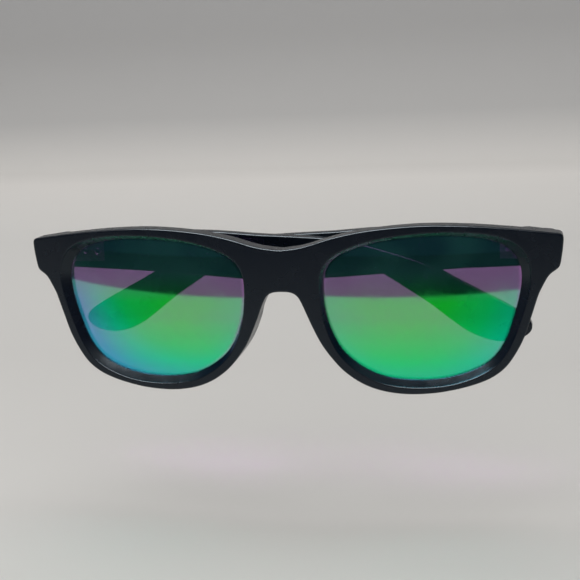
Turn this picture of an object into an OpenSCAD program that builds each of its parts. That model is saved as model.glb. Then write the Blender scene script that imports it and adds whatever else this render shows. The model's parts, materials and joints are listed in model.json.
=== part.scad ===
// Full-rim plastic sunglasses with mirrored lenses, folded. All lengths in millimetres.
// +Z is up, the front looks along -Y, and the origin is the top of the nose arch, halfway
// through the thickness of the bridge. "Right" and "left" are the wearer's sides, so the
// right temple hangs on the -X side. It is folded first, and the left one lies over it.

/* [Eye openings] */
// Width of an opening at its front edge
eye_w = 54; // [48:0.5:60]
// Height of an opening at its front edge
eye_h = 40.8; // [36:0.2:46]
// Distance between the two openings
eye_gap = 20.2; // [17:0.2:24]
// Height of the openings' tops above the top of the bridge
eye_rise = 3.8; // [2.5:0.1:5]
// Step from the front edge in to the lens, on the nose side
bevel_nose = 0.6; // [0.2:0.1:0.8]
// Step from the front edge in to the lens, at the top of the temple side
bevel_outer = 2.8; // [0.8:0.1:3]
// Step from the front edge in to the lens, at the foot of the temple side
bevel_outer_low = 1.2; // [0.8:0.1:2.2]
// Step from the front edge in to the lens, along the top
bevel_top = 1.1; // [0.3:0.1:1.6]
// Step from the front edge in to the lens, along the bottom
bevel_bottom = 1.6; // [0.5:0.1:2]
// Depth of that step behind the front face
bevel_depth = 1.3; // [0.8:0.1:1.6]

/* [Front] */
// Thickness of the front
front_t = 4.8; // [4.4:0.1:6]
// Radius of the front's curve, seen from above
wrap_r = 380; // [300:10:600]
// Rim above the openings
rim_top = 2; // [1.4:0.1:3.5]
// Rim below the openings
rim_bottom = 1.9; // [1.4:0.1:3.5]
// Rim beside the openings
rim_side = 3; // [2:0.1:4.5]
// Height of the bridge at its middle
bridge_h = 11.1; // [8:0.1:14]
// How far an end piece reaches past its opening
end_reach = 8; // [7:0.1:10]
// Height of an end piece at its outer side
end_h = 8.6; // [7:0.1:10]
// How much an end piece's side leans in towards its lower corner
end_taper = 0.9; // [0.3:0.1:1.5]
// Thickness of an end piece where its hinge is sunk
end_t = 5.3; // [4.8:0.1:7]
// Radius of an end piece's upper corner
end_round = 0.7; // [0.5:0.1:2.2]
// How far the moulded nose pads stand behind the front
pad_d = 3.5; // [2:0.1:5]

/* [Lenses] */
// Thickness of a lens
lens_t = 1.4; // [1:0.1:1.8]
// Radius of a lens's outer sphere
lens_r = 180; // [150:5:240]
// How far the lens's middle lies behind the front face
lens_depth = 1.2; // [0.8:0.1:1.4]
// How deep the lens reaches into the groove of the rim
groove_d = 0.7; // [0.4:0.1:1]
// Play between a lens and its groove
lens_play = 0.05; // [0.02:0.01:0.1]

/* [Temples] */
// Length of a temple from its pin to its tip, measured straight
temple_l = 131.2; // [120:0.2:140]
// Height of a temple at its butt
temple_h = 9.2; // [8:0.1:11]
// Thickness of a temple
temple_t = 3.3; // [3:0.05:3.4]
// How far the butt reaches past the pin
butt_l = 3.7; // [3.2:0.1:3.9]
// Gap between the folded temples
stack_gap = 0.45; // [0.35:0.05:0.8]
// Height of the core wire
wire_h = 2.2; // [1.4:0.1:2.6]
// Thickness of the core wire
wire_t = 1.1; // [0.8:0.1:1.2]

/* [Hinges] */
// Height of a hinge
hinge_h = 6; // [5:0.1:6.6]
// Outer radius of the knuckles
knuckle_r = 1.5; // [1.2:0.05:1.6]
// Radius of the hinge screw's shank
screw_r = 0.7; // [0.5:0.05:0.8]
// Radius of the hinge screw's head
screw_head_r = 1.25; // [1.1:0.05:1.4]
// Height of the hinge screw's head
screw_head_h = 0.7; // [0.5:0.05:0.9]
// Play between the screw and the knuckles it turns in
screw_play = 0.05; // [0.03:0.01:0.08]
// Gap between neighbouring knuckles
knuckle_gap = 0.1; // [0.06:0.01:0.15]
// Distance from the pin to the back of the end piece
pin_back = 4.4; // [4.3:0.1:5]
// Distance from the pin to the inner face of the temple
pin_side = 1.9; // [1.85:0.05:2.2]
// Thickness of the hinge leaves
leaf_t = 1; // [0.8:0.05:1.2]
// Length of the leaf on a temple
temple_leaf_l = 9.6; // [8:0.1:11]
// Reach of the leaf on the front past the pin, towards the nose
front_leaf_in = 2.3; // [1.8:0.1:2.6]
// Reach of the leaf on the front past the pin, towards the side
front_leaf_out = 3.7; // [3.4:0.1:4]
// Thickness of the web between a knuckle and its leaf
web_t = 2; // [1.6:0.1:2.2]
// Radius of the leaf screws
leaf_screw_r = 0.55; // [0.4:0.05:0.6]
// Radius of the leaf screws' heads
leaf_head_r = 0.95; // [0.8:0.05:1.1]
// Height of the leaf screws' heads
leaf_head_h = 0.5; // [0.4:0.05:0.6]
// Length of a leaf screw in the end piece
front_screw_l = 3; // [2.4:0.1:3.4]
// Length of a leaf screw in the temple
temple_screw_l = 2.4; // [2:0.1:2.6]

/* [Hidden] */

overrun = 1;
steps = 4;
round_fn = 48;
shell_fn = 720;
lens_fn = 360;

// The eye openings' box, the front's half width and the planes that everything is set out from
eye_x0 = eye_gap / 2;
eye_x1 = eye_x0 + eye_w;
eye_z1 = bridge_h + eye_rise;
eye_z0 = eye_z1 - eye_h;
half_w = eye_x1 + end_reach;
crest_z = eye_z1 + rim_top;
front_y = -front_t / 2;
function sag(x) = wrap_r - sqrt(wrap_r * wrap_r - x * x);
end_back_y = front_y + sag(half_w) + end_t;

// The hinge pin, which the leaves, knuckles, butts and temples are set out from
pin_x = half_w - pin_side - temple_t;
pin_y = end_back_y + pin_back;

// A folded temple leans by half of what the two stacked temples need, in degrees
fold_tilt = asin((temple_t + stack_gap) / (2 * pin_x));

// Points of a smooth line through a list of points, and of a closed one
function knot(p, i) = p[max(0, min(len(p) - 1, i))];
function bend(a, b, c, d, t) =
    0.5 * (2 * b + (c - a) * t + (2 * a - 5 * b + 4 * c - d) * t * t
           + (3 * b - a - 3 * c + d) * t * t * t);
function smooth_line(p) =
    [for (i = [0 : len(p) - 2]) for (k = [0 : steps - 1])
        bend(knot(p, i - 1), knot(p, i), knot(p, i + 1), knot(p, i + 2), k / steps)];
function smooth_loop(p) = let (n = len(p))
    [for (i = [0 : n - 1]) for (k = [0 : steps - 1])
        bend(p[(i + n - 1) % n], p[i], p[(i + 1) % n], p[(i + 2) % n], k / steps)];
function mirrored(p) = [for (i = [len(p) - 1 : -1 : 0]) [-p[i][0], p[i][1]]];

// An opening's outline, as shares of its box from its lower nose corner
eye_shares = [
    [0, 0.66], [0.024, 0.8], [0.11, 0.893], [0.3, 0.969], [0.56, 1], [0.79, 0.98],
    [0.925, 0.916], [0.989, 0.8], [0.993, 0.65], [0.952, 0.44], [0.888, 0.23],
    [0.792, 0.098], [0.62, 0.014], [0.42, 0], [0.25, 0.05], [0.1, 0.2], [0.022, 0.42]];
function eye_outline(nose, outer_low, outer_top, bottom, top) =
    smooth_loop([for (s = eye_shares) let (outer = outer_low + s[1] * (outer_top - outer_low))
        [eye_x0 + nose + s[0] * (eye_w - nose - outer),
         eye_z0 + bottom + s[1] * (eye_h - bottom - top)]]);
function lens_outline(grow) =
    eye_outline(bevel_nose - grow, bevel_outer_low - grow, bevel_outer - grow,
                bevel_bottom - grow, bevel_top - grow);

// The front's upper edge, as shares of its half width and of the bridge's dip
top_shares = [[0, 0], [0.086, 0.15], [0.197, 0.55], [0.326, 0.845], [0.5, 1],
              [0.666, 0.93], [0.824, 0.735], [0.982, 0.465]];
dip = crest_z - bridge_h;
end_top_z = bridge_h + top_shares[7][1] * dip;
end_low_x = half_w - end_taper;
end_low_z = end_top_z - end_h;
// The notch under an end piece, as shares of its size
notch_size = 3.7;
notch_shares = [[0.2, 0.2], [0.53, 0.36], [0.8, 0.62], [1, 1]];
// The rim's outer and lower edge, as shares of the opening's box with its rim
rim_shares = [
    [0.98, 0.616], [0.963, 0.543], [0.943, 0.457], [0.915, 0.344], [0.877, 0.244],
    [0.83, 0.157], [0.768, 0.096], [0.696, 0.057], [0.62, 0.03], [0.533, 0.009],
    [0.437, 0], [0.349, 0.005], [0.263, 0.027], [0.189, 0.066], [0.132, 0.115]];
// The nose arch, as shares of half the gap and of the openings' depth below the saddle
arch_shares = [[1.446, 0.78], [1.04, 0.571], [0.762, 0.351], [0.564, 0.162],
               [0.416, 0.046], [0.238, 0.006], [0, 0]];

half_top = smooth_line([for (s = top_shares) [s[0] * half_w, bridge_h + s[1] * dip]]);
half_end = [
    [half_w - end_round, end_top_z], [half_w - 0.3 * end_round, end_top_z - 0.3 * end_round],
    [half_w, end_top_z - end_round], [half_w - 0.3 * end_taper, end_top_z - 0.5 * end_h],
    [end_low_x, end_low_z],
    for (s = notch_shares) [end_low_x - s[0] * notch_size, end_low_z - s[1] * notch_size]];
half_low = smooth_line(concat(
    [for (s = rim_shares)
        [eye_x0 + s[0] * (eye_w + rim_side),
         eye_z0 - rim_bottom + s[1] * (eye_h + rim_bottom)]],
    [for (s = arch_shares) [s[0] * eye_x0, s[1] * eye_z0]]));
half_outline = concat(half_top, half_end, half_low);
// The first point lies on the middle line, so its mirror image is left out
front_outline = concat(half_outline, [[0, 0]],
    [for (i = [0 : len(half_outline) - 2]) mirrored(half_outline)[i]]);

// A temple's upper edge from its butt to its tip, then its lower edge back, as shares of its
// length and of its height at the butt
temple_top_shares = [[0.053, 1.06], [0.2, 1.12], [0.33, 1.09], [0.43, 0.985], [0.52, 0.92],
                     [0.6, 0.83], [0.67, 0.62], [0.78, 0.12], [0.87, -0.53], [0.955, -1.17]];
temple_tip_shares = [[0.99, -1.49], [1, -1.72], [0.995, -1.93], [0.975, -2.11]];
temple_low_shares = [[0.945, -2.2], [0.912, -2.15], [0.875, -1.94], [0.838, -1.58],
                     [0.795, -1.1], [0.756, -0.73], [0.706, -0.27], [0.682, -0.1],
                     [0.655, -0.07], [0.61, -0.19], [0.545, -0.37], [0.455, -0.43],
                     [0.32, -0.29], [0.16, -0.12]];
butt_round = 0.8;
butt_drop_share = 0.21;
butt_z0 = end_low_z - butt_drop_share * end_h;
butt_z1 = butt_z0 + temple_h;
function temple_point(s) = [s[0] * temple_l, butt_z0 + s[1] * temple_h];
temple_outline = concat(
    [[-butt_l, butt_z0 + butt_round], [-butt_l, butt_z1 - butt_round],
     [butt_round - butt_l, butt_z1]],
    smooth_line([for (s = concat(temple_top_shares, temple_tip_shares, temple_low_shares))
        temple_point(s)]),
    [[butt_round - butt_l, butt_z0]]);
// The core wire's middle line, as shares of the same two sizes
wire_shares = [[0.12, 0.47], [0.3, 0.4], [0.45, 0.32], [0.56, 0.31], [0.64, 0.29],
               [0.69, 0.19], [0.75, -0.09], [0.82, -0.55], [0.9, -1.2]];

module along_y(from_y, to_y) {
    translate([0, to_y, 0]) rotate([90, 0, 0]) linear_extrude(to_y - from_y) children();
}

// Everything behind a cylinder of the front's curve, moved back by a depth
module wrap_solid(depth) {
    translate([0, front_y + wrap_r, eye_z0 - 2 * rim_bottom - overrun])
        cylinder(r = wrap_r - depth, h = crest_z - eye_z0 + 4 * rim_bottom + 2 * overrun,
                 $fn = shell_fn);
}

module both_sides() {
    children();
    mirror([1, 0, 0]) children();
}

// A ball whose surface is a lens's outer face, shrunk by a depth
lens_mid_x = eye_x0 + eye_w / 2;
lens_mid_z = eye_z0 + eye_h / 2;
lens_turn = asin(lens_mid_x / wrap_r);
module lens_ball(depth) {
    translate([lens_mid_x - (lens_r + lens_depth) * sin(lens_turn),
               front_y + sag(lens_mid_x) + (lens_r + lens_depth) * cos(lens_turn),
               lens_mid_z])
        sphere(r = lens_r - depth, $fn = lens_fn);
}

module lens_blank(grow, play) {
    intersection() {
        along_y(front_y, end_back_y + end_t) polygon(lens_outline(grow));
        difference() {
            lens_ball(-play);
            lens_ball(lens_t + play);
        }
    }
}

// Where the hinge leaves and their screws lie, measured from the pin
leaf_z = (butt_z0 + butt_z1) / 2;
leaf_z0 = leaf_z - hinge_h / 2;
knuckle_h = (hinge_h - 2 * knuckle_gap) / 3;
temple_leaf_x = 0.8 * web_t;
front_screw_x = knuckle_r + leaf_head_r;
front_screw_z = 0.3 * hinge_h;
temple_screw_shares = [0.4, 0.78];

// Both pieces of a hinge are drawn for the right side, where a folded temple runs along +X
module on_right_pin() translate([-pin_x, pin_y, 0]) children();
module on_left_pin() translate([pin_x, pin_y, 0]) mirror([1, 0, 0]) children();
module right_folded() on_right_pin() rotate([0, 0, -fold_tilt]) children();
module left_folded() on_left_pin() rotate([0, 0, fold_tilt]) children();

// A screw along +Y whose head ends where its shank starts to grip
module leaf_screw(length) {
    rotate([-90, 0, 0]) {
        cylinder(r = leaf_head_r, h = leaf_head_h, $fn = round_fn);
        cylinder(r = leaf_screw_r, h = length, $fn = round_fn);
    }
}

module front_leaf_screws() {
    for (z = [-front_screw_z, front_screw_z])
        translate([-front_screw_x, -pin_back, leaf_z + z])
            mirror([0, 1, 0]) leaf_screw(front_screw_l);
}

module temple_leaf_screws() {
    for (s = temple_screw_shares)
        translate([temple_leaf_x + s * temple_leaf_l, pin_side, leaf_z])
            leaf_screw(temple_screw_l);
}

module front_leaf_plate() {
    translate([-front_leaf_out, -pin_back - leaf_t, leaf_z0])
        cube([front_leaf_out + front_leaf_in, leaf_t, hinge_h]);
}

// The leaf let into a temple, with the web that carries its knuckle
module temple_leaf_plate() {
    translate([temple_leaf_x, pin_side, leaf_z0]) cube([temple_leaf_l, leaf_t, hinge_h]);
    translate([0, pin_side + leaf_t / 2 - web_t, leaf_z0 + knuckle_h + knuckle_gap])
        cube([temple_leaf_x + web_t, web_t, knuckle_h]);
}

module pin_hole() {
    translate([0, 0, leaf_z0 - overrun])
        cylinder(r = screw_r + screw_play, h = hinge_h + 2 * overrun, $fn = round_fn);
}

module front_leaf() {
    difference() {
        union() {
            front_leaf_plate();
            for (z = [leaf_z0, leaf_z0 + 2 * (knuckle_h + knuckle_gap)]) {
                translate([0, 0, z]) cylinder(r = knuckle_r, h = knuckle_h, $fn = round_fn);
                translate([-web_t / 2, -pin_back - leaf_t / 2, z])
                    cube([web_t, pin_back + leaf_t / 2 - knuckle_r / 2, knuckle_h]);
            }
        }
        pin_hole();
        front_leaf_screws();
    }
}

module temple_leaf() {
    difference() {
        union() {
            temple_leaf_plate();
            translate([0, 0, leaf_z0 + knuckle_h + knuckle_gap])
                cylinder(r = knuckle_r, h = knuckle_h, $fn = round_fn);
        }
        pin_hole();
        temple_leaf_screws();
    }
}

// The pin is a screw with a slotted head, whose head rests on the upper knuckle
module hinge_screw() {
    slot_w = 0.3 * screw_head_r;
    difference() {
        translate([0, 0, leaf_z0]) {
            cylinder(r = screw_r, h = hinge_h + screw_head_h, $fn = round_fn);
            translate([0, 0, hinge_h])
                cylinder(r = screw_head_r, h = screw_head_h, $fn = round_fn);
        }
        translate([-screw_head_r - overrun, -slot_w / 2, leaf_z0 + hinge_h + screw_head_h / 2])
            cube([2 * (screw_head_r + overrun), slot_w, screw_head_h]);
    }
}

module wire_blank() {
    wire = smooth_line([for (s = wire_shares) temple_point(s)]);
    half = wire_h / 2;
    along_y(pin_side + (temple_t - wire_t) / 2 + leaf_t / 4,
            pin_side + (temple_t + wire_t) / 2 + leaf_t / 4)
        polygon(concat([for (p = wire) p + [0, half]],
                       [for (i = [len(wire) - 1 : -1 : 0]) wire[i] - [0, half]]));
}

module temple_blank() {
    difference() {
        along_y(pin_side, pin_side + temple_t) polygon(temple_outline);
        temple_leaf_plate();
        temple_leaf_screws();
        wire_blank();
    }
}

// The end piece behind the front's shell, thick enough to sink a hinge leaf in
block_rim = 0.8;
block_x1 = pin_x - front_leaf_in - block_rim;
block_x0 = block_x1 - end_t / 2;
module end_block() {
    mid_y = front_y + front_t / 2;
    translate([0, 0, end_low_z - notch_size / 2]) linear_extrude(end_h + notch_size)
        polygon([[block_x0, mid_y + sag(block_x0)],
                 [block_x0, mid_y + sag(block_x0) + front_t / 4],
                 [block_x1, end_back_y], [half_w, end_back_y], [half_w, mid_y + sag(half_w)]]);
}

// A nose pad moulded on the back of the rim, along the nose arch
pad_nose_shares = [[0.66, 0.2], [0.8, 0.35], [1.07, 0.565], [1.4, 0.745]];
pad_eye_shares = [[1.58, 0.69], [1.27, 0.53], [1.03, 0.33], [0.9, 0.17]];
pad_round = 12;
module nose_pad() {
    pad_z = eye_z0 / 2;
    back_y = front_y + front_t + pad_d;
    intersection() {
        along_y(0, back_y) polygon([for (s = concat(pad_nose_shares, pad_eye_shares))
            [s[0] * eye_x0, s[1] * eye_z0]]);
        translate([0, back_y - pad_round, pad_z]) rotate([0, 90, 0])
            cylinder(r = pad_round, h = half_w, $fn = 2 * round_fn);
    }
}

module front_frame() {
    color([0.07, 0.075, 0.09]) difference() {
        union() {
            intersection() {
                along_y(front_y - overrun, end_back_y + overrun) polygon(front_outline);
                union() {
                    difference() {
                        wrap_solid(0);
                        wrap_solid(front_t);
                    }
                    both_sides() end_block();
                }
            }
            both_sides() nose_pad();
        }
        both_sides() {
            along_y(front_y - overrun, end_back_y + end_t) polygon(lens_outline(0));
            difference() {
                along_y(front_y - overrun, end_back_y) polygon(eye_outline(0, 0, 0, 0, 0));
                wrap_solid(bevel_depth);
            }
            lens_blank(groove_d + lens_play, lens_play);
        }
        both_sides() on_right_pin() {
            front_leaf_plate();
            front_leaf_screws();
        }
    }
}

module left_lens() color([0.2, 0.65, 0.45, 0.8]) lens_blank(groove_d, 0);
module right_lens() color([0.2, 0.65, 0.45, 0.8]) mirror([1, 0, 0]) lens_blank(groove_d, 0);
module right_temple() color([0.07, 0.075, 0.09]) right_folded() temple_blank();
module left_temple() color([0.07, 0.075, 0.09]) left_folded() temple_blank();
module right_core_wire() color("silver") right_folded() wire_blank();
module left_core_wire() color("silver") left_folded() wire_blank();
module right_front_leaf() color("silver") on_right_pin() front_leaf();
module left_front_leaf() color("silver") on_left_pin() front_leaf();
module right_temple_leaf() color("silver") right_folded() temple_leaf();
module left_temple_leaf() color("silver") left_folded() temple_leaf();
module right_hinge_screw() color("gray") on_right_pin() hinge_screw();
module left_hinge_screw() color("gray") on_left_pin() hinge_screw();
module right_front_leaf_screws() color("gray") on_right_pin() front_leaf_screws();
module left_front_leaf_screws() color("gray") on_left_pin() front_leaf_screws();
module right_temple_leaf_screws() color("gray") right_folded() temple_leaf_screws();
module left_temple_leaf_screws() color("gray") left_folded() temple_leaf_screws();

front_frame();
right_lens();
left_lens();
right_temple();
left_temple();
right_core_wire();
left_core_wire();
right_front_leaf();
left_front_leaf();
right_temple_leaf();
left_temple_leaf();
right_hinge_screw();
left_hinge_screw();
right_front_leaf_screws();
left_front_leaf_screws();
right_temple_leaf_screws();
left_temple_leaf_screws();
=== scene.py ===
# %% [markdown]
# Folding sunglasses with mirrored lenses.
# The sunglasses are a moulded black front that holds two domed lenses, and two temples that
# fold flat behind it on small metal hinges. This lesson builds them round a fixed frame: a
# packed mechanical model that already has the real sizes, the hinge pins and the folded pose.
# Everything here is in metres, +Z is up and the front looks along -Y. "Right" and "left" are
# the wearer's sides, so the right temple hangs on the -X side.

# %% Load the frame
import json
import math

import bpy
import numpy as np
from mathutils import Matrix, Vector
from mathutils.geometry import delaunay_2d_cdt

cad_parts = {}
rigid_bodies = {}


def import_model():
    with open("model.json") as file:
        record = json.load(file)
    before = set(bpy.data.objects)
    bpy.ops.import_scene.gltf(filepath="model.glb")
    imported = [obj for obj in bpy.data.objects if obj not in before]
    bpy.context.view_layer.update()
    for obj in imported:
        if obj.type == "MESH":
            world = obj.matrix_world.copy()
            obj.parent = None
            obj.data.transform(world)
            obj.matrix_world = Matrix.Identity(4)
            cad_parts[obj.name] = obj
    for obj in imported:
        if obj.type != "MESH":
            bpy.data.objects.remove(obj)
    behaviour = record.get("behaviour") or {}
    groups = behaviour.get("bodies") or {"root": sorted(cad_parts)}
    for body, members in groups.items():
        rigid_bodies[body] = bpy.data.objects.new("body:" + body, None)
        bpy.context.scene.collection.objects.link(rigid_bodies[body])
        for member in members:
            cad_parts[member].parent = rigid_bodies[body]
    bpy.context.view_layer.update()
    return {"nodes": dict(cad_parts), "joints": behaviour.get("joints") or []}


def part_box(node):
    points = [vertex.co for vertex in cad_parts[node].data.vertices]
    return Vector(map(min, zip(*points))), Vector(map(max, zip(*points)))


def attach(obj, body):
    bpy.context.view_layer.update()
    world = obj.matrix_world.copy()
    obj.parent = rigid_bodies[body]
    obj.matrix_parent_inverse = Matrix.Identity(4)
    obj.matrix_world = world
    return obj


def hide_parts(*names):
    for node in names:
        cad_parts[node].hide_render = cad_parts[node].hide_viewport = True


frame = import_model()
MM = 0.001
print("frame nodes:", len(frame["nodes"]))

# %% [markdown]
# The camera comes first, because every later choice is judged through it. The view is from a
# little above and from the wearer's left, close to the object, with a long lens. Its place was
# found by fitting the outline of the front and of both temples.

# %% Camera
CAMERA_PLACE = (65.9 * MM, -282.4 * MM, 63.4 * MM)
CAMERA_TURN = (77.648, 2.665, 12.194)
CAMERA_LENS = 69.8
CAMERA_SENSOR = 36
CAMERA_NEAR = 10 * MM
camera_data = bpy.data.cameras.new("camera")
camera_data.lens = CAMERA_LENS
camera_data.sensor_width = CAMERA_SENSOR
camera_data.clip_start = CAMERA_NEAR
camera = bpy.data.objects.new("camera", camera_data)
camera.location = CAMERA_PLACE
camera.rotation_euler = [math.radians(a) for a in CAMERA_TURN]
bpy.context.scene.collection.objects.link(camera)
bpy.context.scene.camera = camera
print("camera looks from", [round(v, 3) for v in camera.location])

# %% [markdown]
# Sizes. The frame gives the box of each node and the hinge pins, and the sizes that a box
# can't give are written here once. An outline is a short list of shares of its box, so that
# a wider opening or a longer temple keeps its shape.

# %% Sizes
front_low, front_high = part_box("front_frame")
pin = Vector(next(j["pos_m"] for j in frame["joints"] if j["name"] == "left_temple_hinge"))
EYE_W = 54 * MM
EYE_H = 40.8 * MM
EYE_GAP = 20.2 * MM
EYE_RISE = 3.8 * MM
BEVEL = {"nose": 0.6 * MM, "outer": 2.8 * MM, "outer low": 1.2 * MM, "bottom": 1.6 * MM,
         "top": 1.1 * MM}
FRONT_T = 4.8 * MM
WRAP_R = 380 * MM
BRIDGE_H = 11.1 * MM
RIM_TOP = 2 * MM
RIM_BOTTOM = 1.9 * MM
RIM_SIDE = 3 * MM
END_H = 8.6 * MM
END_TAPER = 0.9 * MM
END_ROUND = 0.7 * MM
NOTCH = 3.7 * MM
front_y = -FRONT_T / 2
half_w = front_high.x
eye_x0 = EYE_GAP / 2
eye_x1 = eye_x0 + EYE_W
eye_z1 = BRIDGE_H + EYE_RISE
eye_z0 = eye_z1 - EYE_H
crest_z = eye_z1 + RIM_TOP
print("front in mm:", [round(v / MM, 2) for v in (front_low.y, half_w, front_high.z)])

# %% [markdown]
# Smooth outlines. A moulded front has no straight line in it, so its outlines are smooth
# curves through a few points (Catmull and Rom's rule), then spaced evenly. Even spacing
# matters later, because the rounded edges are made by moving the outline inwards.

# %% Curves through points
def curve_through(points, closed, steps=12):
    p = np.array(points, float)
    n = len(p)
    spans = n if closed else n - 1
    made = []
    for i in range(spans):
        a, b, c, d = (p[k % n] if closed else p[min(max(k, 0), n - 1)] for k in range(i - 1, i + 3))
        for t in np.arange(steps) / steps:
            made.append(0.5 * (2 * b + (c - a) * t + (2 * a - 5 * b + 4 * c - d) * t ** 2
                               + (3 * b - a - 3 * c + d) * t ** 3))
    return np.array(made if closed else made + [p[-1]])


def evenly(points, gap, closed=True):
    p = np.vstack([points, points[:1]]) if closed else np.array(points)
    along = np.concatenate([[0], np.cumsum(np.linalg.norm(np.diff(p, axis=0), axis=1))])
    count = max(8, round(along[-1] / gap))
    at = np.linspace(0, along[-1], count + 1)
    even = np.stack([np.interp(at, along, p[:, k]) for k in range(2)], 1)
    return even[:-1] if closed else even


def relaxed(loop, passes=2):
    for _ in range(passes):
        loop = 0.5 * loop + 0.25 * (np.roll(loop, 1, 0) + np.roll(loop, -1, 0))
    return loop


def counterclockwise(loop):
    x, z = loop[:, 0], loop[:, 1]
    area = np.sum(x * np.roll(z, -1) - np.roll(x, -1) * z)
    return loop if area > 0 else loop[::-1]


def moved_in(loop, distance):
    """The counterclockwise loop moved to its left, which is inwards."""
    ahead, behind = np.roll(loop, -1, 0) - loop, loop - np.roll(loop, 1, 0)
    side = [np.stack([-d[:, 1], d[:, 0]], 1) / np.linalg.norm(d, axis=1, keepdims=True)
            for d in (ahead, behind)]
    mean = side[0] + side[1]
    mean /= np.linalg.norm(mean, axis=1, keepdims=True)
    stretch = 1 / np.clip(np.sum(mean * side[0], 1, keepdims=True), 0.7, 1)
    return loop + mean * stretch * distance


test_ring = curve_through([(1, 0), (0, 1), (-1, 0), (0, -1)], True)
print("a closed curve through 4 points is drawn with", len(test_ring), "points")

# %% [markdown]
# The outlines themselves. The eye opening is wide at the top and narrows to the nose, with a
# tight upper outer corner. The front follows it with a thin rim, dips at the bridge, and ends
# in two blunt end pieces with a notch below, where the hinges sit.

# %% Outlines of the front
EYE_SHARES = [
    (0, 0.66), (0.024, 0.8), (0.11, 0.893), (0.3, 0.969), (0.56, 1), (0.79, 0.98),
    (0.925, 0.916), (0.989, 0.8), (0.993, 0.65), (0.952, 0.44), (0.888, 0.23),
    (0.792, 0.098), (0.62, 0.014), (0.42, 0), (0.25, 0.05), (0.1, 0.2), (0.022, 0.42)]
TOP_SHARES = [(0, 0), (0.086, 0.15), (0.197, 0.55), (0.326, 0.845), (0.5, 1),
              (0.666, 0.93), (0.824, 0.735), (0.982, 0.465)]
NOTCH_SHARES = [(0.2, 0.2), (0.53, 0.36), (0.8, 0.62), (1, 1)]
RIM_SHARES = [
    (0.98, 0.616), (0.963, 0.543), (0.943, 0.457), (0.915, 0.344), (0.877, 0.244),
    (0.83, 0.157), (0.768, 0.096), (0.696, 0.057), (0.62, 0.03), (0.533, 0.009),
    (0.437, 0), (0.349, 0.005), (0.263, 0.027), (0.189, 0.066), (0.132, 0.115)]
ARCH_SHARES = [(1.446, 0.78), (1.04, 0.571), (0.762, 0.351), (0.564, 0.162),
               (0.416, 0.046), (0.238, 0.006), (0, 0)]
EDGE_GAP = 0.7 * MM
CORNER_SHARE = 0.3


def unit_eye():
    """The opening's outline in shares, with its points evenly spaced at full size."""
    size = np.array([EYE_W, EYE_H])
    even = evenly(curve_through(EYE_SHARES, True) * size, EDGE_GAP)
    return counterclockwise(relaxed(even)) / size


def eye_loop(grow=0.0):
    """The lens's visible edge, moved out by grow. Its outer bevel widens upwards."""
    across, up = unit_eye().T
    outer = BEVEL["outer low"] + up * (BEVEL["outer"] - BEVEL["outer low"]) - grow
    nose, bottom, top = (BEVEL[k] - grow for k in ("nose", "bottom", "top"))
    return np.stack([eye_x0 + nose + across * (EYE_W - nose - outer),
                     eye_z0 + bottom + up * (EYE_H - bottom - top)], 1)


def ridge_loop():
    """The opening's front edge, with a point for each point of the lens's edge."""
    return np.array([eye_x0, eye_z0]) + unit_eye() * [EYE_W, EYE_H]


def half_front():
    dip = crest_z - BRIDGE_H
    end_top = BRIDGE_H + TOP_SHARES[-1][1] * dip
    end_x, end_z = half_w - END_TAPER, end_top - END_H
    top = curve_through([(u * half_w, BRIDGE_H + v * dip) for u, v in TOP_SHARES], False)
    cut = CORNER_SHARE * END_ROUND
    end = [(half_w - END_ROUND, end_top), (half_w - cut, end_top - cut),
           (half_w, end_top - END_ROUND), (half_w - 0.3 * END_TAPER, end_top - 0.5 * END_H),
           (end_x, end_z)] + [(end_x - u * NOTCH, end_z - v * NOTCH) for u, v in NOTCH_SHARES]
    rim_w, rim_h = EYE_W + RIM_SIDE, EYE_H + RIM_BOTTOM
    low = curve_through(
        [(eye_x0 + u * rim_w, eye_z0 - RIM_BOTTOM + v * rim_h) for u, v in RIM_SHARES]
        + [(u * eye_x0, v * eye_z0) for u, v in ARCH_SHARES], False)
    return np.vstack([top, end, low])


def front_loop():
    half = half_front()
    other = half[::-1][1:-1] * [-1, 1]
    loop = relaxed(evenly(np.vstack([half, other]), EDGE_GAP))
    return counterclockwise(np.minimum(loop, [half_w, front_high.z]))


print("front outline points:", len(front_loop()), "opening outline points:", len(eye_loop()))

# %% [markdown]
# From outlines to a moulded plate. The front and the temples are plates with rounded edges,
# and the front has two holes. Booleans and a Bevel modifier would leave long thin faces here.
# So a plate is built from rings: each ring is the outline moved in by a little and set back
# by a little. Walls join the rings, and the first and the last ring are filled.

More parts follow.
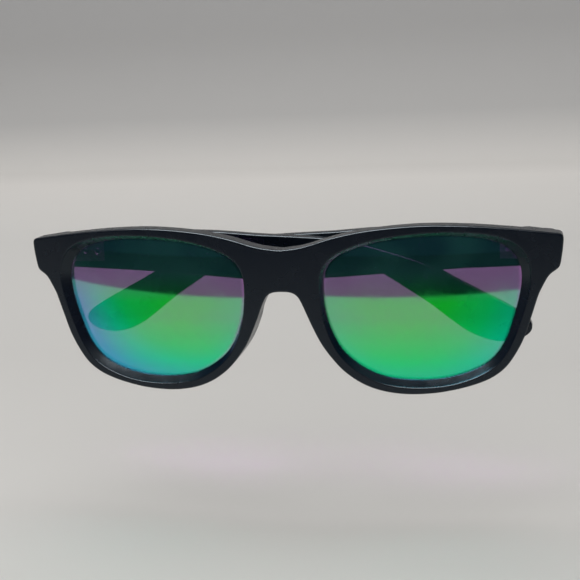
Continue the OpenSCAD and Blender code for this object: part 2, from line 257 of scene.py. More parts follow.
# %% Plates from rings
class Plate:
    def __init__(self, name):
        self.name = name
        self.points = []
        self.faces = []

    def ring(self, points):
        first = len(self.points)
        self.points += [tuple(p) for p in points]
        return list(range(first, len(self.points)))

    def wall(self, rings, inside_out=False):
        for a, b in zip(rings, rings[1:]):
            for i in range(len(a)):
                j = (i + 1) % len(a)
                face = (a[i], b[i], b[j], a[j])
                self.faces.append(face[::-1] if inside_out else face)

    def fill(self, outer, holes, net_gap, height, away):
        """Fills between ring outer and the rings in holes, over a net of inner points."""
        loops = [outer] + holes
        flat = [np.array([(self.points[i][0], self.points[i][2]) for i in r]) for r in loops]
        net = inner_net(flat[0], flat[1:], net_gap)
        edges, first = [], 0
        for loop in flat:
            edges += [(first + i, first + (i + 1) % len(loop)) for i in range(len(loop))]
            first += len(loop)
        every = np.vstack(flat + [net])
        # 1 keeps only the triangles inside the outline, and those in the holes go below
        where, _, triangles, origins, _, _ = delaunay_2d_cdt(
            [Vector(p) for p in every], edges, [], 1, 1e-9)
        rim = [i for r in loops for i in r]
        ids = []
        for p, origin in zip(where, origins):
            if origin and origin[0] < len(rim):
                ids.append(rim[origin[0]])
            else:
                ids.append(len(self.points))
                self.points.append((p.x, height(p.x, p.y), p.y))
        middles = np.array([np.mean([where[i] for i in t], axis=0) for t in triangles])
        keep = within(middles, flat[0])
        for loop in flat[1:]:
            keep &= ~within(middles, loop)
        for t, kept in zip(triangles, keep):
            if kept:
                self.faces.append(tuple(ids[i] for i in (t if away else t[::-1])))

    def piece(self, material):
        mesh = bpy.data.meshes.new(self.name)
        mesh.from_pydata(self.points, [], self.faces)
        mesh.validate()
        return finished(self.name, mesh, material)


def finished(name, mesh, material, smooth_up_to=50):
    mesh.materials.clear()
    mesh.materials.append(material)
    mesh.shade_smooth()
    mesh.set_sharp_from_angle(angle=math.radians(smooth_up_to))
    piece = bpy.data.objects.new(name, mesh)
    bpy.context.scene.collection.objects.link(piece)
    return piece


test_plate = Plate("test")
square = [(0, 0), (1, 0), (1, 1), (0, 1)]
test_plate.wall([test_plate.ring([(x, y, z) for x, z in square]) for y in (0, 1)])
print("a wall between two squares has", len(test_plate.faces), "faces")

# %% [markdown]
# Filling a flat face. One big polygon can't bend when the front is curved, so the face gets an
# even net of triangles. The net's inner points keep clear of the outline, which avoids thin
# triangles, and only the triangles inside the outline and outside its holes stay.

# %% A net inside an outline
NET_CLEAR = 0.6


def within(points, loop):
    inside = np.zeros(len(points), bool)
    for (x0, z0), (x1, z1) in zip(loop, np.roll(loop, -1, 0)):
        crosses = (z0 > points[:, 1]) != (z1 > points[:, 1])
        if crosses.any():
            at = x0 + (points[:, 1] - z0) * (x1 - x0) / ((z1 - z0) or 1)
            inside ^= crosses & (points[:, 0] < at)
    return inside


def inner_net(outer, holes, gap):
    low, high = outer.min(0), outer.max(0)
    x, z = np.meshgrid(np.arange(low[0], high[0], gap), np.arange(low[1], high[1], gap))
    x[::2] += gap / 2
    net = np.stack([x.ravel(), z.ravel()], 1)
    keep = within(net, outer)
    for loop in holes:
        keep &= ~within(net, loop)
    net = net[keep]
    rims = np.vstack([outer] + list(holes))
    near = np.full(len(net), np.inf)
    for p in rims:
        near = np.minimum(near, np.hypot(*(net - p).T))
    return net[near > NET_CLEAR * gap]


print("net points in the front:", len(inner_net(front_loop(), [], MM)))

# %% [markdown]
# Edges. Moulded and tumbled plastic has no sharp edge. Where light should run along it in a
# narrow line, the edge is a flat chamfer with soft shoulders, and elsewhere a quarter circle.
# Smooth shading would spread an edge's light over the whole face beside it, so one more ring
# before and behind the edge holds the shading there.

# %% Rounded edges
HOLD = 0.25 * MM
CHAMFER_SHARES = [(1, 0), (0.78, 0.07), (0.12, 0.5), (0, 0.75)]


def held(steps):
    """Adds a ring before and behind the edge, so that its shading ends there."""
    size = steps[0][0]
    return [(size + HOLD, 0)] + steps + [(0, size + HOLD)]


def quarter(radius, steps=4):
    """Steps of a rounded edge: how far in and how far back, from the face to the side."""
    turns = np.linspace(0, math.pi / 2, steps + 1)
    return held([(radius * (1 - math.sin(t)), radius * (1 - math.cos(t))) for t in turns])


def soft_chamfer(size):
    """Steps of an edge that a tumbling barrel has flattened, with soft shoulders."""
    return held([(size * u, size * v) for u, v in CHAMFER_SHARES])


print("rings on a quarter circle:", len(quarter(MM)), "and on a chamfer:", len(soft_chamfer(MM)))

# %% [markdown]
# Materials and Geometry Nodes are trees of nodes. Written out in full, each node takes several
# lines, so a few helpers make the usual ones: any node with its inputs, a sum, a change of
# range, a mix of two colours and a ramp through several.

# %% Node helpers
def fed(made, **inputs):
    """Sets or links a node's inputs, by name with _ for a space, or by place as in0, in1."""
    for key, value in inputs.items():
        if key.startswith("in") and key[2:].isdigit():
            socket = made.inputs[int(key[2:])]
        elif hasattr(made, key):
            setattr(made, key, value)
            continue
        else:
            socket = made.inputs[key.replace("_", " ")]
        if isinstance(value, bpy.types.NodeSocket):
            made.id_data.links.new(value, socket)
        else:
            socket.default_value = value
    return made


def node(tree, kind, **inputs):
    return fed(tree.nodes.new(kind), **inputs)


def group_tree(name, kind, inputs, outputs):
    tree = bpy.data.node_groups.new(name, kind)
    for way, sockets in (("INPUT", inputs), ("OUTPUT", outputs)):
        for label, value_kind, *start in sockets:
            socket = tree.interface.new_socket(label, in_out=way,
                                               socket_type="NodeSocket" + value_kind)
            if start:
                socket.default_value = start[0]
    return tree, tree.nodes.new("NodeGroupInput"), tree.nodes.new("NodeGroupOutput")


def remapped(tree, value, from_min, from_max, to_min=0.0, to_max=1.0, clamp=True):
    return node(tree, "ShaderNodeMapRange", clamp=clamp, Value=value, From_Min=from_min,
                From_Max=from_max, To_Min=to_min, To_Max=to_max).outputs["Result"]


def ramped(tree, value, stops):
    made = node(tree, "ShaderNodeValToRGB", in0=value)
    for element, (at, shade) in zip(made.color_ramp.elements, (stops[0], stops[-1])):
        element.position, element.color = at, shade
    for at, shade in stops[1:-1]:
        made.color_ramp.elements.new(at).color = shade
    return made.outputs["Color"]


def maths(tree, operation, *values):
    places = {"in%d" % i: value for i, value in enumerate(values)}
    return node(tree, "ShaderNodeMath", operation=operation, **places).outputs[0]


def mixed(tree, share, first, second, **settings):
    """The first colour where share is 0 and the second where it is 1."""
    return node(tree, "ShaderNodeMix", data_type="RGBA", in0=share, in6=first, in7=second,
                **settings).outputs[2]


print("helpers:", [helper.__name__ for helper in (fed, node, remapped, ramped, maths, mixed)])

# %% [markdown]
# Shader groups. Two effects are built once, so that any material can use them. "Moulded
# grain" is the very fine unevenness of an injection-moulded or tumbled plastic, as a height
# and a small change in gloss. "Handling" is where fingers and cloths have left the surface a
# little duller, in soft patches with a few specks of dust. Both read Object coordinates, so
# they stay put on a piece.

# %% Grain and handling
COARSE_SHARE = 0.06
SPECKS_PER_PATCH = 5.0
SPECK_EDGE = (0.03, 0.06)


def moulded_grain_group():
    tree, given, out = group_tree(
        "moulded grain", "ShaderNodeTree",
        [("Grain size", "Float", 0.3 * MM), ("Seed", "Float", 0.0)],
        [("Height", "Float"), ("Gloss change", "Float")])
    place = node(tree, "ShaderNodeTexCoord").outputs["Object"]
    scale = maths(tree, "DIVIDE", 1.0, given.outputs["Grain size"])
    fine = node(tree, "ShaderNodeTexNoise", noise_dimensions="4D", Vector=place,
                Scale=scale, W=given.outputs["Seed"], Detail=3.0, Roughness=0.6)
    coarse = node(tree, "ShaderNodeTexNoise", noise_dimensions="4D", Vector=place,
                  Scale=maths(tree, "MULTIPLY", scale, COARSE_SHARE),
                  W=given.outputs["Seed"], Detail=2.0)
    change = remapped(tree, coarse.outputs["Fac"], 0.3, 0.7, -1.0, 1.0)
    fed(out, Height=fine.outputs["Fac"], Gloss_change=change)
    return tree


def handling_group():
    tree, given, out = group_tree(
        "handling", "ShaderNodeTree",
        [("Patch size", "Float", 9 * MM), ("Amount", "Float", 0.5)],
        [("Smear", "Float"), ("Specks", "Float")])
    place = node(tree, "ShaderNodeTexCoord").outputs["Object"]
    scale = maths(tree, "DIVIDE", 1.0, given.outputs["Patch size"])
    patch = node(tree, "ShaderNodeTexNoise", Vector=place, Scale=scale, Detail=4.0,
                 Roughness=0.65, Distortion=0.6)
    smear = remapped(tree, patch.outputs["Fac"], 0.5, 0.75, 0.0, given.outputs["Amount"])
    cells = node(tree, "ShaderNodeTexVoronoi", Vector=place,
                 Scale=maths(tree, "MULTIPLY", scale, SPECKS_PER_PATCH))
    specks = remapped(tree, cells.outputs["Distance"], SPECK_EDGE[0], SPECK_EDGE[1],
                      given.outputs["Amount"], 0.0)
    fed(out, Smear=smear, Specks=specks)
    return tree


moulded_grain = moulded_grain_group()
handling = handling_group()
print("shader groups:", moulded_grain.name, "and", handling.name)

# %% [markdown]
# The black plastic. It is a satin black with a little blue in it: nearly all of what the eye
# sees is the sheen, so the base colour is very dark, the sheen itself has a slight blue tint,
# and only the chamfered edges catch the light. Handled patches are a little greyer and duller,
# and the grain's height is a few thousandths of a millimetre.

# %% Black plastic
PLASTIC_CLEAN = (0.0016, 0.0042, 0.0095, 1)
PLASTIC_HANDLED = (0.0026, 0.0056, 0.0115, 1)
PLASTIC_SHEEN = (0.82, 0.93, 1, 1)
PLASTIC_ROUGH = 0.25
GRAIN_H = 0.01 * MM


def surface(material, **settings):
    fed(material.node_tree.nodes["Principled BSDF"], **settings)


def grouped(tree, group, **inputs):
    return node(tree, "ShaderNodeGroup", node_tree=group, **inputs)


def new_material(name):
    material = bpy.data.materials.new(name)
    material.use_nodes = True
    return material, material.node_tree


def black_plastic():
    material, tree = new_material("satin black plastic")
    grain = grouped(tree, moulded_grain, Grain_size=0.25 * MM)
    touched = grouped(tree, handling, Patch_size=14 * MM, Amount=0.6)
    dark = mixed(tree, touched.outputs["Smear"], PLASTIC_CLEAN, PLASTIC_HANDLED)
    rough = maths(tree, "MULTIPLY_ADD", grain.outputs["Gloss change"], 0.04, PLASTIC_ROUGH)
    duller = maths(tree, "MULTIPLY_ADD", touched.outputs["Smear"], 0.08, rough)
    bump = node(tree, "ShaderNodeBump", Strength=0.25, Distance=GRAIN_H,
                Height=grain.outputs["Height"])
    surface(material, Specular_IOR_Level=0.38, Specular_Tint=PLASTIC_SHEEN, Base_Color=dark,
            Roughness=duller, Normal=bump.outputs["Normal"])
    return material


plastic = black_plastic()
print(plastic.name, "has", len(plastic.node_tree.nodes), "nodes")

# %% [markdown]
# The front's two faces. The front face follows a gentle wrap round the wearer's face. The back
# face runs along it, but two moulded pads swell out of the rim beside the nose arch, and each
# end piece is thickened to a flat seat for its hinge. Both faces are functions of a place's
# width and height, so all rings and net points are set on them in the same way. The lens's
# dome is a third one, and the bevels run down to it.

# %% Shape of the front's two faces
PAD_D = 3.5 * MM
PAD_ROUND = 12 * MM
PAD_FADE = 1.15
PAD_NOSE_SHARES = [(0.66, 0.2), (0.8, 0.35), (1.07, 0.565), (1.4, 0.745)]
PAD_EYE_SHARES = [(0.9, 0.17), (1.03, 0.33), (1.27, 0.53), (1.58, 0.69)]
SEAT_GAP = 0.12 * MM
SEAT_IN = 3.1 * MM
SEAT_SLOPE = 2.65 * MM
SEAT_FADE = 1.2 * MM
LENS_R = 180 * MM
LENS_DEPTH = 1.2 * MM
LENS_T = 1.4 * MM
seat_y = front_high.y - SEAT_GAP


def sag(x):
    return WRAP_R - math.sqrt(WRAP_R ** 2 - x * x)


def eased(value):
    value = min(max(value, 0.0), 1.0)
    return value * value * (3 - 2 * value)


def front_face(x, z):
    return front_y + sag(x)


def pad_rise(x, z):
    """How far a nose pad swells behind the rim at a place on it."""
    middle = eye_z0 / 2
    if abs(z - middle) >= PAD_ROUND:
        return 0.0
    back = front_y + FRONT_T + PAD_D - PAD_ROUND + math.sqrt(PAD_ROUND ** 2 - (z - middle) ** 2)
    depths = [s[1] * eye_z0 for s in PAD_NOSE_SHARES][::-1]
    nose_x = np.interp(z, depths, [s[0] * eye_x0 for s in PAD_NOSE_SHARES][::-1])
    depths = [s[1] * eye_z0 for s in PAD_EYE_SHARES][::-1]
    rim_x = np.interp(z, depths, [s[0] * eye_x0 for s in PAD_EYE_SHARES][::-1])
    across = 1 - eased((abs(x) - nose_x) / (PAD_FADE * (rim_x - nose_x)))
    return max(0.0, back - (front_y + sag(x) + FRONT_T)) * across


def seat_rise(x, z):
    """How far an end piece's hinge seat stands behind the front's plain back."""
    start = pin.x - SEAT_IN - SEAT_SLOPE
    low = BRIDGE_H + TOP_SHARES[-1][1] * (crest_z - BRIDGE_H) - END_H - NOTCH / 2
    ramp = eased((abs(x) - start) / SEAT_SLOPE) * eased((z - low) / SEAT_FADE + 0.5)
    return max(0.0, seat_y - (front_y + sag(x) + FRONT_T)) * ramp


def back_face(x, z):
    return front_y + sag(x) + FRONT_T + pad_rise(x, z) + seat_rise(x, z)


lens_mid = Vector(((eye_x0 + eye_x1) / 2, 0, (eye_z0 + eye_z1) / 2))
lens_turn = math.asin(lens_mid.x / WRAP_R)
lens_centre = Vector((lens_mid.x - (LENS_R + LENS_DEPTH) * math.sin(lens_turn),
                      front_y + sag(lens_mid.x) + (LENS_R + LENS_DEPTH) * math.cos(lens_turn),
                      lens_mid.z))


def lens_face(x, z):
    return lens_centre.y - math.sqrt(LENS_R ** 2 - (abs(x) - lens_centre.x) ** 2
                                     - (z - lens_centre.z) ** 2)


print("bridge is", round((back_face(0, 5 * MM) - front_face(0, 5 * MM)) / MM, 2), "mm thick")

# %% [markdown]
# The front itself. Its front face ends in a thin ridge round each opening. From the ridge a
# bevel slopes back and ends just in front of the lens, wide on the temple side and narrow at
# the nose. Rings run over the ridge, down the bevel and out through the opening, so the whole
# front is one closed skin.

# %% Build the front
FRONT_EDGE = 0.35 * MM
BACK_EDGE = 0.35 * MM
RIDGE_EDGE = 0.2 * MM
LIP_EDGE = 0.3 * MM
BEVEL_HOLDS = (0.1, 0.9)
BEVEL_LAP = 0.08 * MM
NET_GAP = 1.1 * MM


def set_ring(plate, flat, face, shift, side=1):
    """A ring from a flat loop, set on one of the front's faces and shifted from it."""
    return plate.ring([(side * x, face(x, z) + shift, z) for x, z in flat])


def front_rings(plate, loop):
    rings = [set_ring(plate, moved_in(loop, inwards), front_face, back)
             for inwards, back in soft_chamfer(FRONT_EDGE)]
    return rings + [set_ring(plate, moved_in(loop, inwards), back_face, -forward)
                    for inwards, forward in reversed(quarter(BACK_EDGE))]


def opening_rings(plate, ridge, inner, side):
    """Rings from the front face over the ridge, down the bevel and out at the back."""
    rings = [set_ring(plate, moved_in(ridge, -out), front_face, back, side)
             for out, back in soft_chamfer(RIDGE_EDGE)[:-1]]
    high = np.array([(side * x, front_face(x, z) + RIDGE_EDGE, z) for x, z in ridge])
    low = np.array([(side * x, lens_face(x, z) - BEVEL_LAP, z) for x, z in inner])
    rings += [plate.ring(high + share * (low - high)) for share in BEVEL_HOLDS]
    rings.append(plate.ring(low))
    return rings + [set_ring(plate, moved_in(inner, -out), back_face, -forward, side)
                    for out, forward in reversed(quarter(LIP_EDGE, 3))]


def build_front():
    plate = Plate("front")
    outer = front_rings(plate, front_loop())
    plate.wall(outer)
    ridge, inner = ridge_loop(), eye_loop()
    holes = []
    for side in (1, -1):
        rings = opening_rings(plate, ridge, inner, side)
        plate.wall(rings, inside_out=side > 0)
        holes.append(rings)
    plate.fill(outer[0], [r[0] for r in holes], NET_GAP, front_face, True)
    plate.fill(outer[-1], [r[-1] for r in holes], NET_GAP, back_face, False)
    return plate.piece(plastic)


front = build_front()
print("front:", len(front.data.polygons), "faces")

# %% [markdown]
# Temples. Each is a plate a little over 3 mm thick. It leaves the hinge straight, swells a
# little, draws in to a waist, and bends down behind the ear into a rounded paddle. Both are
# drawn along +X as the right one lies when folded, then turned by the small angle that the
# folded pair needs to lie on each other, and the left one is mirrored. The far face is
# slightly crowned: it falls off towards its border.

# %% Outline of a temple
TEMPLE_L = 131.2 * MM
TEMPLE_H = 9.2 * MM
TEMPLE_T = 3.3 * MM
STACK_GAP = 0.45 * MM
PIN_SIDE = 1.9 * MM
BUTT_L = 3.7 * MM
BUTT_ROUND = 0.8 * MM
NEAR_EDGE = 0.4 * MM
FAR_EDGE = 0.3 * MM
LEAF_PROUD = 0.1 * MM
CROWN = 0.2 * MM
CROWN_REACH = 2.4 * MM
TEMPLE_SHARES = [
    (0.053, 1.06), (0.2, 1.12), (0.33, 1.09), (0.43, 0.985), (0.52, 0.92), (0.6, 0.83),
    (0.67, 0.62), (0.78, 0.12), (0.87, -0.53), (0.955, -1.17), (0.99, -1.49), (1, -1.72),
    (0.995, -1.93), (0.975, -2.11), (0.945, -2.2), (0.912, -2.15), (0.875, -1.94),
    (0.838, -1.58), (0.795, -1.1), (0.756, -0.73), (0.706, -0.27), (0.682, -0.1),
    (0.655, -0.07), (0.61, -0.19), (0.545, -0.37), (0.455, -0.43), (0.32, -0.29), (0.16, -0.12)]
fold_tilt = math.asin((TEMPLE_T + STACK_GAP) / (2 * pin.x))
butt_z0 = pin.z - TEMPLE_H / 2


def temple_loop():
    long_part = curve_through([(u * TEMPLE_L, butt_z0 + v * TEMPLE_H) for u, v in TEMPLE_SHARES],
                              False)
    butt_z1 = butt_z0 + TEMPLE_H
    cut = CORNER_SHARE * BUTT_ROUND
    butt = [(BUTT_ROUND - BUTT_L, butt_z0), (cut - BUTT_L, butt_z0 + cut),
            (-BUTT_L, butt_z0 + BUTT_ROUND), (-BUTT_L, butt_z1 - BUTT_ROUND),
            (cut - BUTT_L, butt_z1 - cut), (BUTT_ROUND - BUTT_L, butt_z1)]
    return counterclockwise(relaxed(evenly(np.vstack([butt, long_part]), EDGE_GAP)))


print("temple outline points:", len(temple_loop()))

# %% [markdown]
# From the outline to two temples. Each place on a temple is first given along and behind its
# pin, and then turned to where the folded temple has it.

# %% Build the temples
def on_temple(side, along, behind, z):
    """A place on a folded temple, from its pin: along it, and behind the pin."""
    lean = side * fold_tilt
    return (side * (pin.x - along * math.cos(lean) + behind * math.sin(lean)),
            pin.y + along * math.sin(lean) + behind * math.cos(lean), z)


def build_temple(name, side):
    loop = temple_loop()
    near_y, far_y = PIN_SIDE + LEAF_PROUD, PIN_SIDE + TEMPLE_T
    rim = loop[::3]  # enough points to measure how near the border is

    def crowned(x, z):
        edge = min(np.hypot(rim[:, 0] - x, rim[:, 1] - z))
        return far_y - CROWN * (1 - eased(edge / CROWN_REACH))

    plate = Plate(name)
    rings = [plate.ring([(x, near_y + back, z) for x, z in moved_in(loop, inwards)])
             for inwards, back in soft_chamfer(NEAR_EDGE)]
    rings += [plate.ring([(x, far_y - CROWN - forward, z) for x, z in moved_in(loop, inwards)])
              for inwards, forward in reversed(quarter(FAR_EDGE))]
    plate.wall(rings)
    plate.fill(rings[0], [], 2 * NET_GAP, lambda x, z: near_y, True)
    plate.fill(rings[-1], [], 2 * NET_GAP, crowned, False)
    plate.points = [on_temple(side, *p) for p in plate.points]
    if side > 0:
        plate.faces = [f[::-1] for f in plate.faces]
    return plate.piece(plastic)


right_arm = build_temple("right_temple_arm", -1)
left_arm = build_temple("left_temple_arm", 1)
print("temples lean by", round(math.degrees(fold_tilt), 2), "degrees")

# %% [markdown]
# Lenses. A lens is a piece of a sphere, cut to the opening's outline: a shape that follows a
# rule, so Geometry Nodes make it. The tree takes a flat disc of rings, gives it a thickness,
# and sets each point's depth from the sphere. The same tree makes the mirror coat, a film on
# the lens's front.

# %% Domes by Geometry Nodes
WELD = 0.001 * MM


def dome_tree():
    tree, given, out = group_tree(
        "dome", "GeometryNodeTree",
        [("Disc", "Geometry"), ("Centre", "Vector", (0, 0, 0)), ("Radius", "Float", 0.2),
         ("Thickness", "Float", 0.001), ("Material", "Material")],
        [("Geometry", "Geometry")])
    slab = node(tree, "GeometryNodeExtrudeMesh", mode="FACES", Mesh=given.outputs["Disc"],
                Offset=(0.0, 1.0, 0.0), Offset_Scale=given.outputs["Thickness"], Individual=False)
    front_side = node(tree, "GeometryNodeFlipFaces", Mesh=given.outputs["Disc"])
    both = node(tree, "GeometryNodeJoinGeometry")
    for part in (slab, front_side):
        fed(both, Geometry=part.outputs["Mesh"])
    closed = node(tree, "GeometryNodeMergeByDistance", Geometry=both.outputs[0], Distance=WELD)
    place = node(tree, "GeometryNodeInputPosition")
    off = node(tree, "ShaderNodeVectorMath", operation="SUBTRACT", in0=place.outputs[0],
               in1=given.outputs["Centre"])
    flat = node(tree, "ShaderNodeVectorMath", operation="MULTIPLY", in0=off.outputs[0],
                in1=(1.0, 0.0, 1.0))
    reach = node(tree, "ShaderNodeVectorMath", operation="DOT_PRODUCT", in0=flat.outputs[0],
                 in1=flat.outputs[0])
    square = maths(tree, "MULTIPLY", given.outputs["Radius"], given.outputs["Radius"])
    deep = maths(tree, "SQRT", maths(tree, "SUBTRACT", square, reach.outputs["Value"]))
    centre = node(tree, "ShaderNodeSeparateXYZ", in0=given.outputs["Centre"])
    push = node(tree, "ShaderNodeCombineXYZ", Y=maths(tree, "SUBTRACT", centre.outputs[1], deep))
    domed = node(tree, "GeometryNodeSetPosition", Geometry=closed.outputs[0],
                 Offset=push.outputs[0])
    painted = node(tree, "GeometryNodeSetMaterial", Geometry=domed.outputs[0],
                   Material=given.outputs["Material"])
    whole = node(tree, "GeometryNodeRealizeInstances", Geometry=painted.outputs[0])
    fed(out, Geometry=whole.outputs[0])
    return tree


dome = dome_tree()
print("dome tree nodes:", len(dome.nodes))

# %% [markdown]
# From a tree to a piece. A tree works on an object through a modifier, whose inputs are set by
# their identifiers before the object is first evaluated. The result is copied to a plain mesh
# and the object that carried the modifier goes. The disc has an attribute that rises to 1 at
# its border, because the mirror coat fades out there.

# %% Run a tree
DISC_RINGS = 22


def made_by(tree, name, base, **inputs):
    """Runs a tree on a base mesh and returns the result as a plain piece."""
    holder = bpy.data.objects.new(name, base)
    bpy.context.scene.collection.objects.link(holder)
    modifier = holder.modifiers.new("nodes", "NODES")
    modifier.node_group = tree
    sockets = {i.name: i.identifier for i in tree.interface.items_tree
               if i.item_type == "SOCKET" and i.in_out == "INPUT"}
    for key, value in inputs.items():
        modifier[sockets[key.replace("_", " ")]] = value
    seen = holder.evaluated_get(bpy.context.evaluated_depsgraph_get())
    mesh = bpy.data.meshes.new_from_object(seen)
    bpy.data.objects.remove(holder)
    return finished(name, mesh, inputs["Material"])


def disc(loop, side):
    """A flat disc of rings in the XZ plane, facing +Y."""
    middle = loop.mean(0)
    shares = [k / DISC_RINGS for k in range(1, DISC_RINGS + 1)]
    flat = np.vstack([[middle]] + [middle + (loop - middle) * share for share in shares])
    n = len(loop)
    faces = [(0, 1 + (i + 1) % n, 1 + i) for i in range(n)]
    for k in range(DISC_RINGS - 1):
        a, b = 1 + k * n, 1 + (k + 1) * n
        faces += [(a + i, a + (i + 1) % n, b + (i + 1) % n, b + i) for i in range(n)]
    if side < 0:
        faces = [f[::-1] for f in faces]
    mesh = bpy.data.meshes.new("disc")
    mesh.from_pydata([(side * x, 0, z) for x, z in flat], [], faces)
    rim = mesh.attributes.new("rim", "FLOAT", "POINT")
    rim.data.foreach_set("value", [0.0] + [share for share in shares for _ in loop])
    return mesh


print("a disc has", DISC_RINGS, "rings of", len(eye_loop()), "points")

# %% [markdown]
# What a mirrored lens is made of. The lens itself is a tinted plastic that lets rosy light
# through, and its front carries a thin green mirror. Where the background behind the lens is
# pale, its rosy light mixes with the green and the lens looks pastel. Over the dark temple
# only the mirror is left, and the green is saturated. So both layers are built as they are.

# %% Lens tint
LENS_TINT = (0.47, 0.21, 0.56, 1)


def tint_material():
    material, tree = new_material("rosy lens tint")
    surface(material, Base_Color=LENS_TINT, Roughness=0.0, IOR=1.1, Transmission_Weight=1.0)
    return material


tint = tint_material()
print(tint.name, "lets through", LENS_TINT[:3])

# %% [markdown]
# The mirror coat. Its green turns to blue towards the rim, painted by place. This is a painted
# reflection colour that stands in for the bluer tint the coat mirrors at a slant, as the coat
# itself is even. Seen at a slant it turns bluer still, so a little of the change comes from
# Layer Weight. The upper part is painted a darker smoky teal, a painted reflection of the dim
# room, and lets more of the background through, and the film fades out at its border. A few
# specks of dust are neither green nor metal.

# %% Mirror coat
# The next three set a painted reflection colour: how the coat is painted bluer by place towards its
# rim.
COAT_MIDDLE = (0.42, 0.65)
COAT_REACH = (0.55, 0.64)
COAT_PAINTED_RIM_BLUE = (0.4, 1.0, 0.62)
COAT_SLANT = (0.1, 0.22, 0.5)
COAT_WOBBLE = 0.04
COAT_COLOURS = [(0.0, (0.012, 0.92, 0.055, 1)), (0.35, (0.004, 0.87, 0.19, 1)),
                (0.6, (0.002, 0.79, 0.4, 1)), (1.0, (0.05, 0.47, 0.7, 1))]
# The next two set a painted reflection: the heights over which the upper part is painted a darker
# smoky teal, and that teal.
COAT_PAINTED_ROOM_SPAN = (0.55, 0.75)
COAT_PAINTED_ROOM_TEAL = (0.11, 0.6, 0.36, 1)
COAT_DEEPENS = (0.15, 0.45)
COAT_ALPHA = (0.89, 0.56)
COAT_RIM = (0.955, 0.25)
COAT_ROUGH = 0.04
DUST = (0.45, 0.45, 0.43, 1)


def by_height(tree, parts, shares, low, high):
    """From low to high between two heights, which are shares of the opening's."""
    bottom, top = (eye_z0 + share * EYE_H for share in shares)
    return remapped(tree, parts.outputs["Z"], bottom, top, low, high)


def coat_colour(tree, place, parts):
    side = maths(tree, "ABSOLUTE", parts.outputs["X"])
    x0, z0 = eye_x0 + COAT_MIDDLE[0] * EYE_W, eye_z0 + COAT_MIDDLE[1] * EYE_H
    across = remapped(tree, side, x0, x0 + COAT_REACH[0] * EYE_W, clamp=False)
    up = remapped(tree, parts.outputs["Z"], z0, z0 + COAT_REACH[1] * EYE_H, clamp=False)
    spot = node(tree, "ShaderNodeCombineXYZ", X=across, Z=up)
    reach = node(tree, "ShaderNodeVectorMath", operation="LENGTH", in0=spot.outputs[0])
    # painted reflection colour: bluer by place towards the rim
    painted_rim_blue = remapped(tree, reach.outputs["Value"], *COAT_PAINTED_RIM_BLUE[:2], 0.0, COAT_PAINTED_RIM_BLUE[2])
    slant = node(tree, "ShaderNodeLayerWeight", Blend=0.5).outputs["Facing"]
    slanted = remapped(tree, slant, *COAT_SLANT[:2], 0.0, COAT_SLANT[2])
    wobble = node(tree, "ShaderNodeTexNoise", Vector=place, Scale=30.0, Detail=1.0)
    uneven = remapped(tree, wobble.outputs["Fac"], 0.3, 0.7, -COAT_WOBBLE, COAT_WOBBLE)
    painted_and_slant_blue = maths(tree, "ADD", maths(tree, "ADD", painted_rim_blue, slanted), uneven)
    # painted reflection: the upper part turns to a darker smoky teal
    painted_top_reflection_share = by_height(tree, parts, COAT_PAINTED_ROOM_SPAN, 0.0, 1.0)
    return mixed(tree, painted_top_reflection_share, ramped(tree, painted_and_slant_blue, COAT_COLOURS), COAT_PAINTED_ROOM_TEAL)


def coat_cover(tree, parts):
    rim = node(tree, "ShaderNodeAttribute", attribute_name="rim").outputs["Fac"]
    kept = remapped(tree, rim, COAT_RIM[0], 1.0, 1.0, COAT_RIM[1])
    full = maths(tree, "MULTIPLY", by_height(tree, parts, COAT_DEEPENS, *COAT_ALPHA), kept)
    # the film has two sides, and only the one that a ray meets first shows
    back = node(tree, "ShaderNodeNewGeometry").outputs["Backfacing"]
    return maths(tree, "MULTIPLY", full, maths(tree, "SUBTRACT", 1.0, back))


def mirror_material():
    material, tree = new_material("green mirror coat")
    place = node(tree, "ShaderNodeTexCoord").outputs["Object"]
    parts = node(tree, "ShaderNodeSeparateXYZ", in0=place)
    touched = grouped(tree, handling, Patch_size=7 * MM, Amount=1.0)
    dust = maths(tree, "MULTIPLY", touched.outputs["Smear"], touched.outputs["Specks"])
    # the base colour carries the coat's painted reflection colours
    surface(material, Base_Color=mixed(tree, dust, coat_colour(tree, place, parts), DUST),
            Metallic=maths(tree, "SUBTRACT", 1.0, dust), Alpha=coat_cover(tree, parts),
            Roughness=maths(tree, "MULTIPLY_ADD", touched.outputs["Smear"], 0.06, COAT_ROUGH))
    return material


mirror = mirror_material()
print(mirror.name, "has", len(mirror.node_tree.nodes), "nodes")

# %% [markdown]
# The lenses themselves. Each body reaches half a millimetre into the front all round, as a
# real lens sits in its groove. Its mirror film is a second dome just in front of it, with its
# own outline, so that the coat is a surface that light meets before the lens.

# %% Build the lenses
LENS_GRIP = 0.5 * MM
COAT_GRIP = 0.3 * MM
COAT_T = 0.02 * MM
COAT_AHEAD = 1.5 * COAT_T
lenses = {}
for name, side in (("left", 1), ("right", -1)):
    centre = Vector((side * lens_centre.x, lens_centre.y, lens_centre.z))
    lenses[name] = made_by(dome, name + "_lens_body", disc(eye_loop(LENS_GRIP), side),
                           Centre=centre, Radius=LENS_R, Thickness=LENS_T, Material=tint)
    centre.y -= COAT_AHEAD
    lenses[name + " coat"] = made_by(dome, name + "_lens_mirror", disc(eye_loop(COAT_GRIP), side),
                                     Centre=centre, Radius=LENS_R, Thickness=COAT_T,
                                     Material=mirror)
print("lens body:", len(lenses["left"].data.polygons), "faces")

# %% [markdown]
# Hinge metal. The leaves and knuckles are stamped nickel silver with a brushed face, and the
# screws are turned steel. Both are plain metals: a warm grey for the leaves and a cooler one
# for the screws, with fine scratches along the leaf that change the gloss.

# %% Metals
SCRATCH_H = 0.005 * MM
METAL_WORN = 0.85


